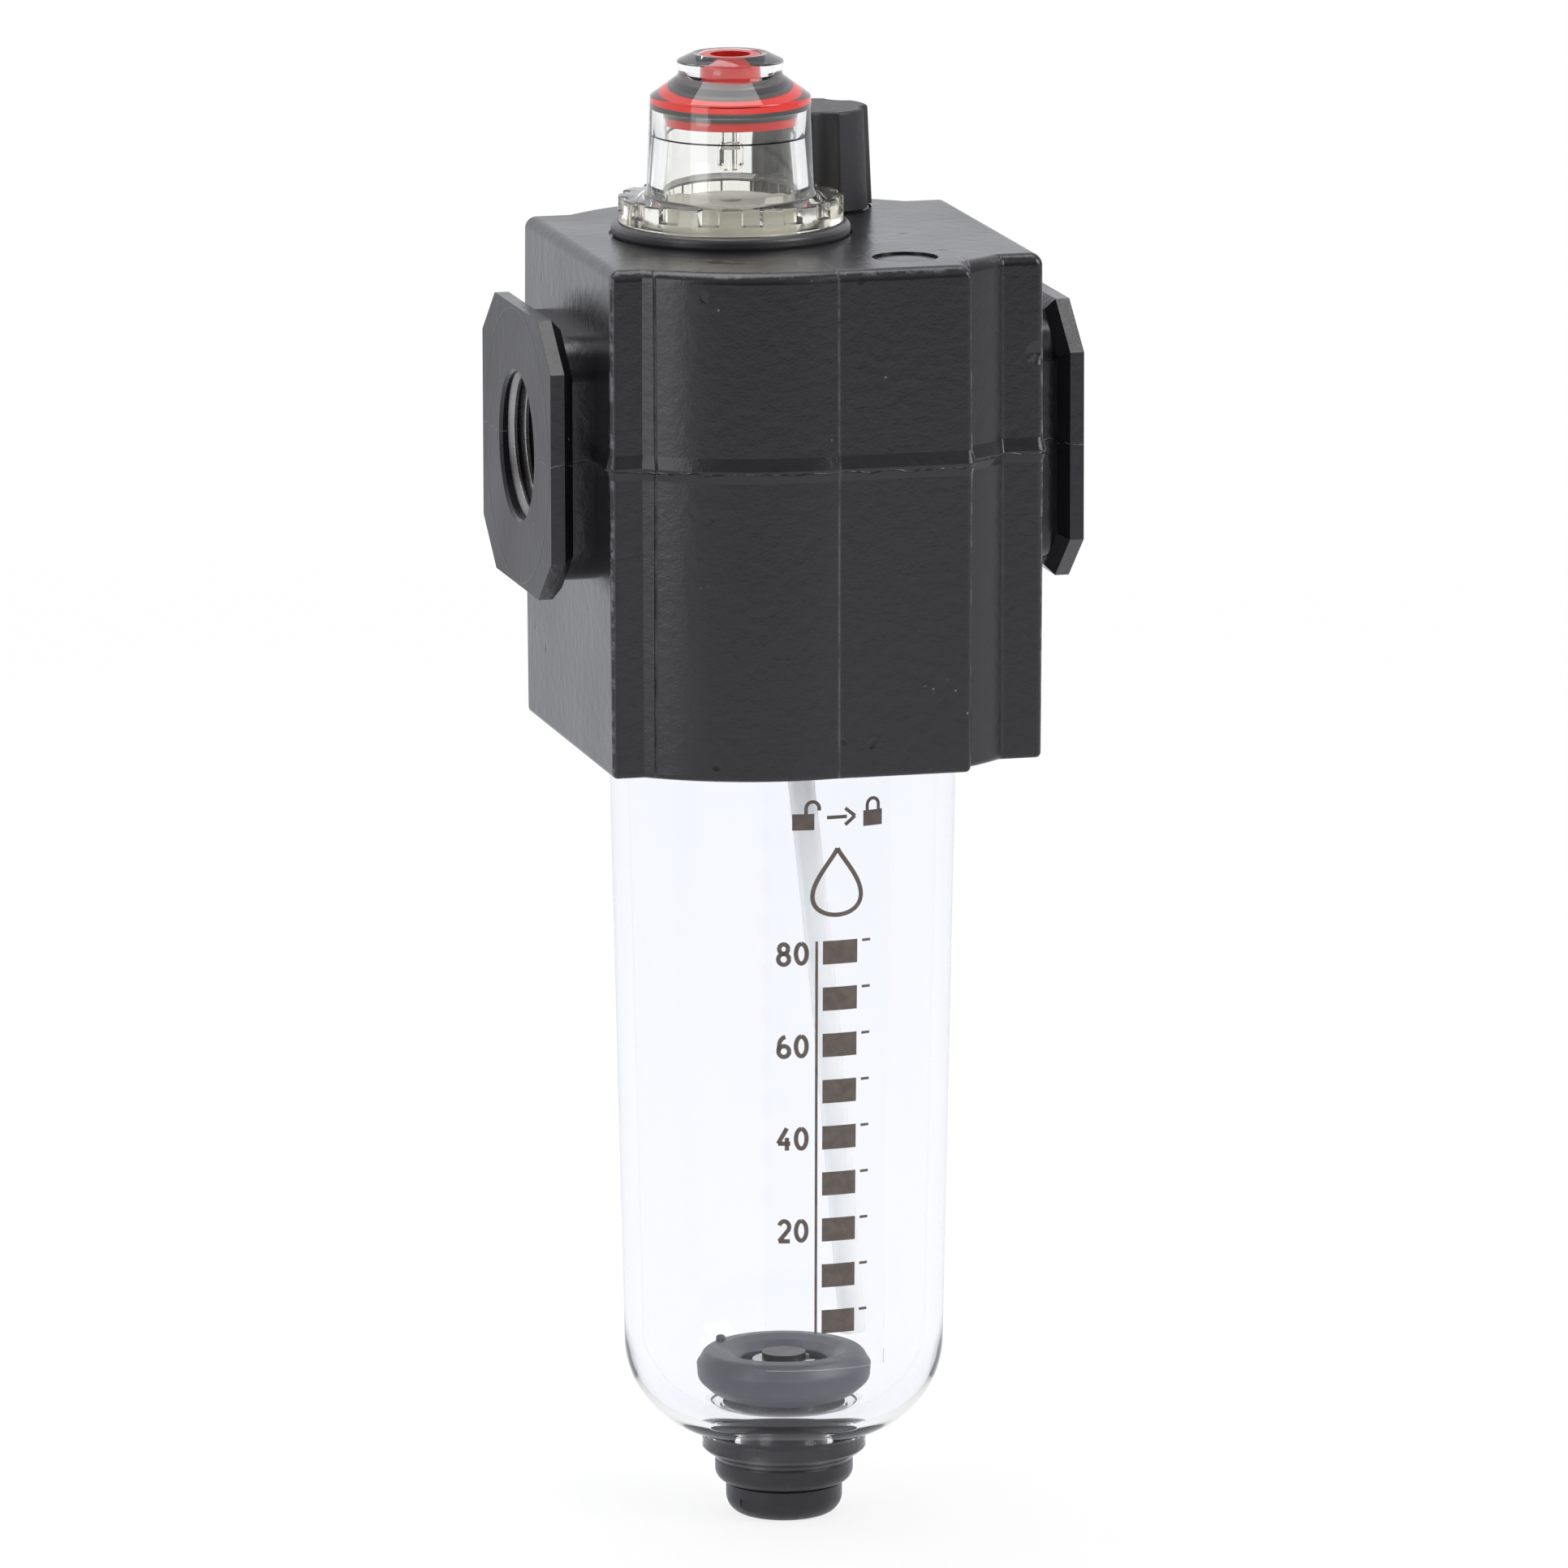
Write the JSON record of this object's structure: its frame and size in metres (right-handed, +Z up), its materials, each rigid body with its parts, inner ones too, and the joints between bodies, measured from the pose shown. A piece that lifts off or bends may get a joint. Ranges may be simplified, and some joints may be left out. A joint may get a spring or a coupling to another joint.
{
  "type": "air line lubricator",
  "caption": "Air line lubricator: cast housing with two flanged ports, clear sight dome, red drip adjuster, fill plug, and a clear turn-off bowl with a drain.",
  "frame": {"origin": "middle of the inlet port's face, on the port axis", "axes": "+X along the air flow from inlet to outlet, +Y to the back, +Z up, with the bowl hanging below"},
  "size_m": [0.0615, 0.0577, 0.1685],
  "materials": {
    "cast_paint": "satin enamel over an orange-peel casting",
    "plug_metal": "painted over with the housing",
    "black_rubber": "matte",
    "grey_rubber": "matte",
    "clear_dome": "clear moulded plastic, faintly yellow",
    "clear_nozzle": "clear moulded plastic",
    "clear_bowl": "clear moulded plastic, faintly blue",
    "label_film": "clear film with a dark brown-grey print",
    "red_plastic": "semi-gloss",
    "grey_plastic": "satin",
    "sensor_plastic": "satin",
    "tube_plastic": "milky, translucent",
    "ball_steel": "polished",
    "black_plastic": "satin",
    "dark_plastic": "satin"
  },
  "bodies": {
    "head": {"head_body": "cast_paint", "passage_plug": "plug_metal", "dome_gasket": "black_rubber", "sight_dome": "clear_dome", "drip_funnel": "grey_plastic", "mist_insert": "grey_plastic", "insert_upper_ring": "black_rubber", "insert_lower_ring": "black_rubber", "mist_baffle": "grey_plastic", "flow_sensor": "sensor_plastic", "tube_fitting": "grey_plastic", "siphon_tube": "tube_plastic"},
    "adjuster_set": {"adjuster": "red_plastic", "adjuster_seal": "black_rubber", "drip_nozzle": "clear_nozzle"},
    "ball": {"check_ball": "ball_steel"},
    "plug_seal": {"fill_plug_ring": "black_rubber"},
    "plug": {"fill_plug": "black_plastic"},
    "bowl_set": {"bowl": "clear_bowl", "bowl_seal": "black_rubber", "bowl_label": "label_film", "drain_grommet": "grey_rubber", "drain_body": "black_plastic"},
    "drain_set": {"drain_knob": "dark_plastic", "drain_stem_ring": "black_rubber", "drain_clip": "ball_steel"}
  },
  "joints": [
    {"name": "adjuster_turn", "type": "hinge", "parent": "head", "child": "adjuster_set", "pos_m": [0.02555, 0.0027, 0.04], "axis": [0, 0, 1], "range_deg": [0, 270]},
    {"name": "ball_lift", "type": "slide", "parent": "head", "child": "ball", "axis": [0, 0, 1], "range_m": [0, 0.0008]},
    {"name": "plug_lift", "type": "slide", "parent": "head", "child": "plug_seal", "axis": [0, 0, 1], "range_m": [0, 0.0075]},
    {"name": "plug_turn", "type": "hinge", "parent": "plug_seal", "child": "plug", "pos_m": [0.03955, 0.0188, 0.023], "axis": [0, 0, 1], "range_deg": [0, 1800]},
    {"name": "bowl_turn", "type": "hinge", "parent": "head", "child": "bowl_set", "pos_m": [0.03075, 0, -0.0346], "axis": [0, 0, 1], "range_deg": [-22.5, 0]},
    {"name": "drain_turn", "type": "hinge", "parent": "bowl_set", "child": "drain_set", "pos_m": [0.03075, 0, -0.122], "axis": [0, 0, 1], "range_deg": [0, 90]}
  ],
  "couplings": [
    {"joint": "plug_turn", "follows": "plug_lift", "rad_per_m": 4188.8}
  ]
}
